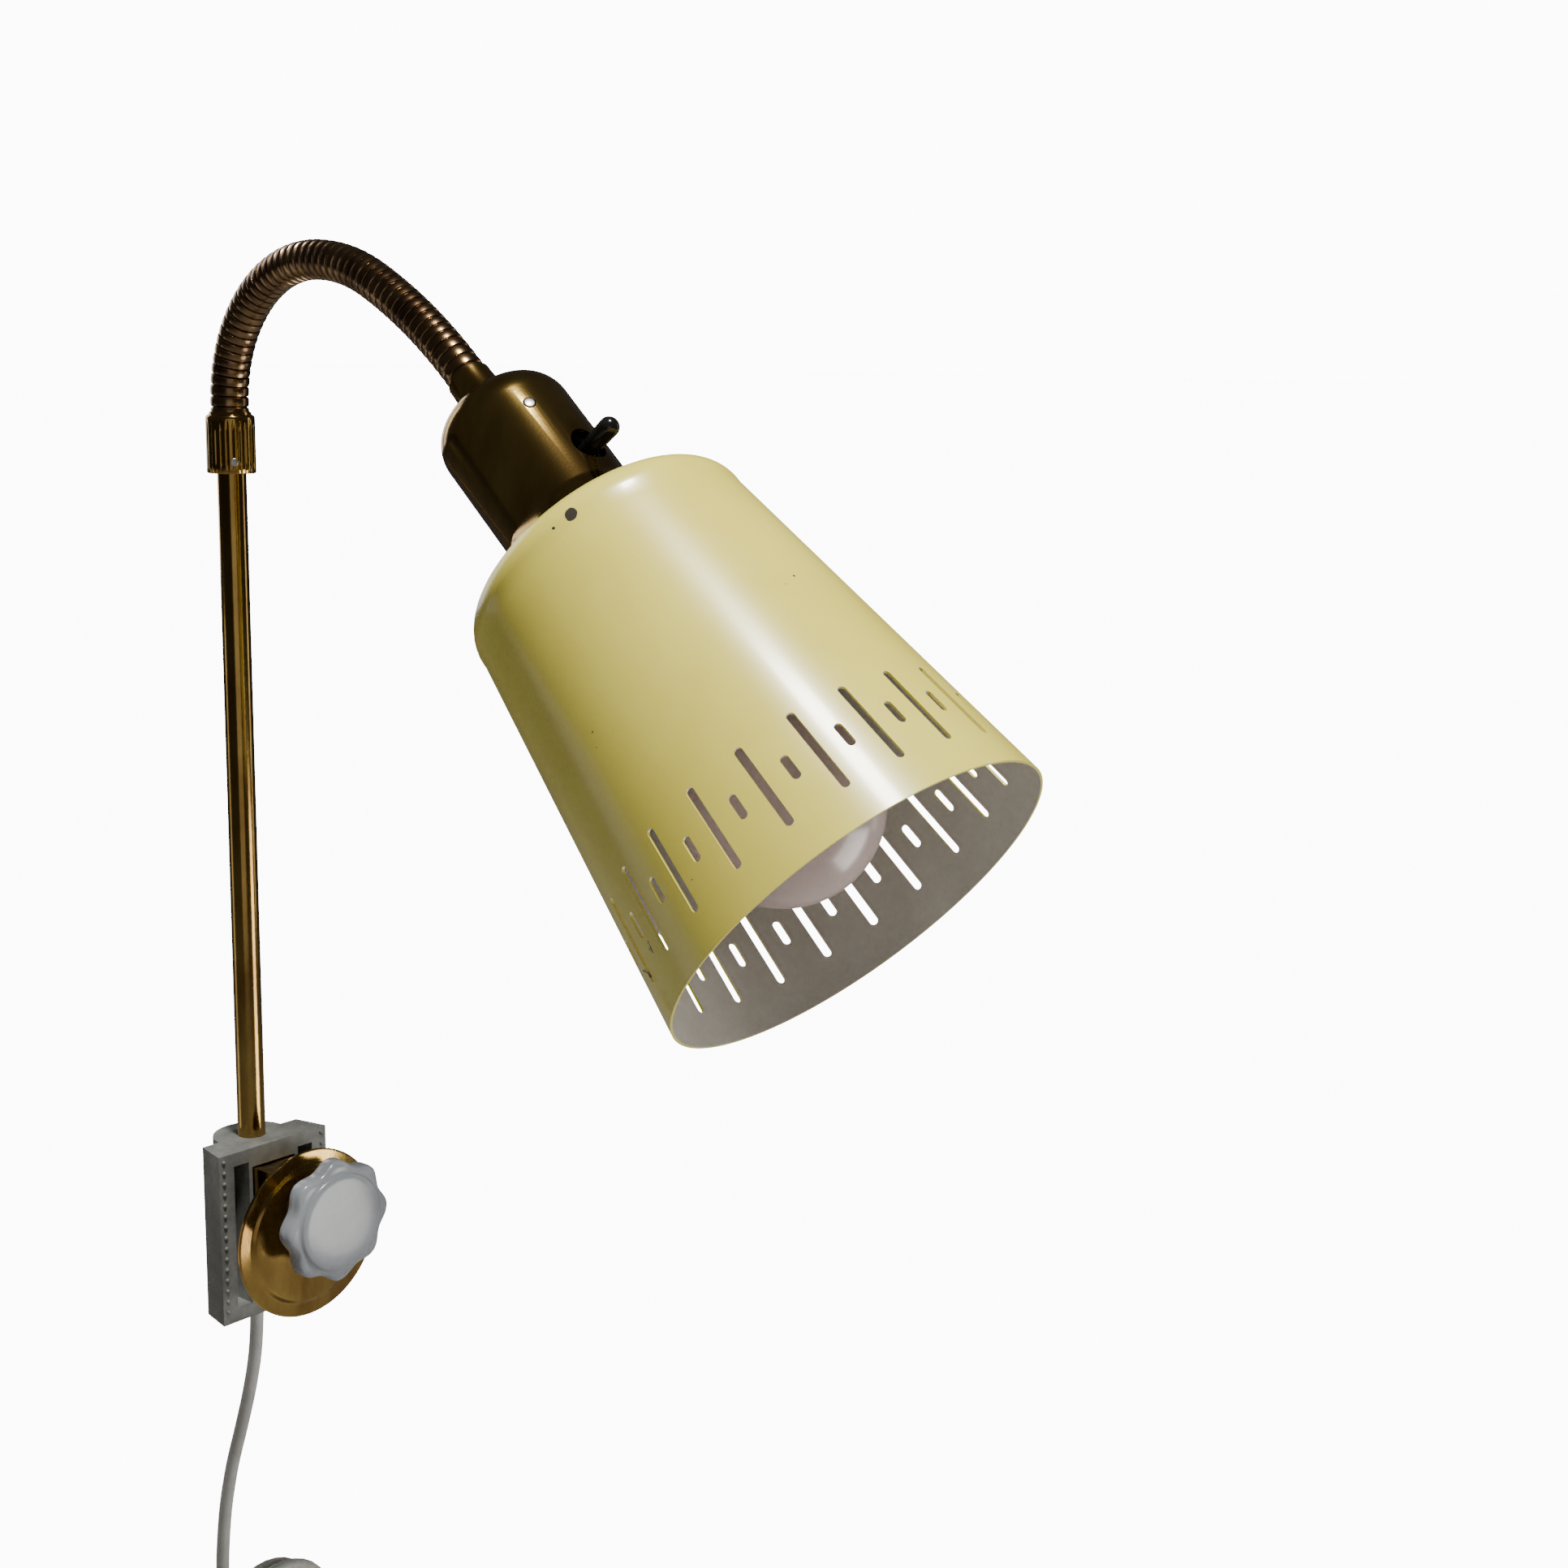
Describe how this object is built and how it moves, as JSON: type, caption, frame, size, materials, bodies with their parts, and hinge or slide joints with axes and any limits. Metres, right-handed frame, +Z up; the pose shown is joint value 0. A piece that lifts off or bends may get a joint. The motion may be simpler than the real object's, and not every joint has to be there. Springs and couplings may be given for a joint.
{
  "type": "clip on reading lamp",
  "caption": "Reading lamp that clamps on a rail: brass stem, flexible neck, slotted yellow shade, lever switch and a lobed clamp knob.",
  "frame": {"origin": "on the fixed jaw's flat face, on the lamp's middle plane, 36 mm below the clamp body's top", "axes": "+Z up along the stem, -Y to the front, from the fixed jaw towards the moving jaw and the knob, +X to the right seen from behind the knob"},
  "size_m": [0.1264, 0.3548, 0.7295],
  "materials": {
    "brass": "aged, polished in streaks",
    "neck_metal": "dark bronze tone, worn",
    "steel": "plain turned",
    "grey_plastic": "fine matt, scuffed at the edges",
    "knob_plastic": "glossy",
    "black_plastic": "glossy",
    "yellow_enamel": "satin enamel outside, white inside",
    "holder_insert": "ceramic-like",
    "opal_glass": "opal, satin",
    "cord_plastic": "light grey cord sheath, satin"
  },
  "bodies": {
    "clamp": {"clamp_body": "grey_plastic", "clamp_screw": "steel", "cord_bush": "black_plastic", "cord_run": "cord_plastic", "cord_hank": "cord_plastic", "cord_tie": "black_plastic", "cord_tail": "cord_plastic", "plug_strain_relief": "cord_plastic", "plug_body": "cord_plastic", "plug_pin_1": "steel", "plug_pin_2": "steel"},
    "jaw": {"jaw_disc": "brass", "guide_channel": "brass", "channel_rivet_1": "brass", "channel_rivet_2": "brass"},
    "knob": {"knob": "knob_plastic", "knob_insert": "brass", "knob_retaining_ring": "steel"},
    "stem": {"stem_tube": "brass", "lower_ferrule": "brass", "ferrule_grub_screw": "steel", "stem_lead": "cord_plastic", "neck_root_sleeve": "neck_metal"},
    "neck_1": {"neck_sleeve_1": "neck_metal", "neck_lead_1": "cord_plastic"},
    "neck_2": {"neck_sleeve_2": "neck_metal", "neck_lead_2": "cord_plastic"},
    "neck_3": {"neck_sleeve_3": "neck_metal", "neck_lead_3": "cord_plastic"},
    "neck_4": {"neck_sleeve_4": "neck_metal", "neck_lead_4": "cord_plastic"},
    "neck_5": {"neck_sleeve_5": "neck_metal", "neck_lead_5": "cord_plastic"},
    "neck_6": {"neck_sleeve_6": "neck_metal", "neck_lead_6": "cord_plastic"},
    "neck_7": {"neck_sleeve_7": "neck_metal", "neck_lead_7": "cord_plastic"},
    "neck_8": {"neck_sleeve_8": "neck_metal", "neck_lead_8": "cord_plastic"},
    "head": {"neck_tip_sleeve": "neck_metal", "head_lead": "cord_plastic", "upper_ferrule": "brass", "nipple": "steel", "nipple_nut": "steel", "socket_cup": "brass", "cup_screw": "steel", "lampholder_cap": "black_plastic", "lampholder_skirt": "black_plastic", "lampholder_core": "holder_insert", "centre_contact": "brass", "thread_shell": "brass", "terminal_block": "holder_insert", "shade_ring": "black_plastic", "shade": "yellow_enamel", "bulb_cap": "steel", "bulb_globe": "opal_glass", "switch_pin": "steel"},
    "switch": {"switch_lever": "black_plastic"}
  },
  "joints": [
    {"name": "jaw_slide", "type": "slide", "parent": "clamp", "child": "jaw", "axis": [0, 1, 0], "range_m": [-0.0093, 0.0043]},
    {"name": "knob_turn", "type": "hinge", "parent": "jaw", "child": "knob", "pos_m": [0, -0.03, 0.0149], "axis": [0, 1, 0], "range_deg": [-3350, 1550]},
    {"name": "stem_turn", "type": "hinge", "parent": "clamp", "child": "stem", "pos_m": [0, 0.0125, 0.036], "axis": [0, 0, 1], "range_deg": [-170, 170]},
    {"name": "neck_bend", "type": "hinge", "parent": "stem", "child": "neck_1", "pos_m": [0, 0.0125, 0.3007], "axis": [1, 0, 0], "range_deg": [-8, 5]},
    {"name": "neck_bend_2", "type": "hinge", "parent": "neck_1", "child": "neck_2", "pos_m": [0, 0.00854, 0.31971], "axis": [1, 0, 0], "range_deg": [-8, 5]},
    {"name": "neck_bend_3", "type": "hinge", "parent": "neck_2", "child": "neck_3", "pos_m": [0, -0.00269, 0.33556], "axis": [1, 0, 0], "range_deg": [-8, 5]},
    {"name": "neck_side", "type": "hinge", "parent": "neck_3", "child": "neck_4", "pos_m": [0, -0.01931, 0.3456], "axis": [0, 0.3318, 0.9434], "range_deg": [-10, 10]},
    {"name": "neck_bend_4", "type": "hinge", "parent": "neck_4", "child": "neck_5", "pos_m": [0, -0.03856, 0.34821], "axis": [1, 0, 0], "range_deg": [-8, 5]},
    {"name": "neck_bend_5", "type": "hinge", "parent": "neck_5", "child": "neck_6", "pos_m": [0, -0.05765, 0.34433], "axis": [1, 0, 0], "range_deg": [-8, 5]},
    {"name": "neck_side_2", "type": "hinge", "parent": "neck_6", "child": "neck_7", "pos_m": [0, -0.07518, 0.3357], "axis": [0, -0.4993, 0.8664], "range_deg": [-10, 10]},
    {"name": "neck_bend_6", "type": "hinge", "parent": "neck_7", "child": "neck_8", "pos_m": [0, -0.09157, 0.32505], "axis": [1, 0, 0], "range_deg": [-8, 5]},
    {"name": "neck_bend_7", "type": "hinge", "parent": "neck_8", "child": "head", "pos_m": [0, -0.10673, 0.31271], "axis": [1, 0, 0], "range_deg": [-8, 5]},
    {"name": "switch_rock", "type": "hinge", "parent": "head", "child": "switch", "pos_m": [0, -0.15577, 0.28714], "axis": [1, 0, 0], "range_deg": [-18, 0]}
  ],
  "couplings": [
    {"joint": "knob_turn", "follows": "jaw_slide", "rad_per_m": 6283.2},
    {"joint": "neck_bend_2", "follows": "neck_bend", "ratio": 1},
    {"joint": "neck_bend_3", "follows": "neck_bend", "ratio": 1},
    {"joint": "neck_bend_4", "follows": "neck_bend", "ratio": 1},
    {"joint": "neck_bend_5", "follows": "neck_bend", "ratio": 1},
    {"joint": "neck_bend_6", "follows": "neck_bend", "ratio": 1},
    {"joint": "neck_bend_7", "follows": "neck_bend", "ratio": 1},
    {"joint": "neck_side_2", "follows": "neck_side", "ratio": 1}
  ]
}
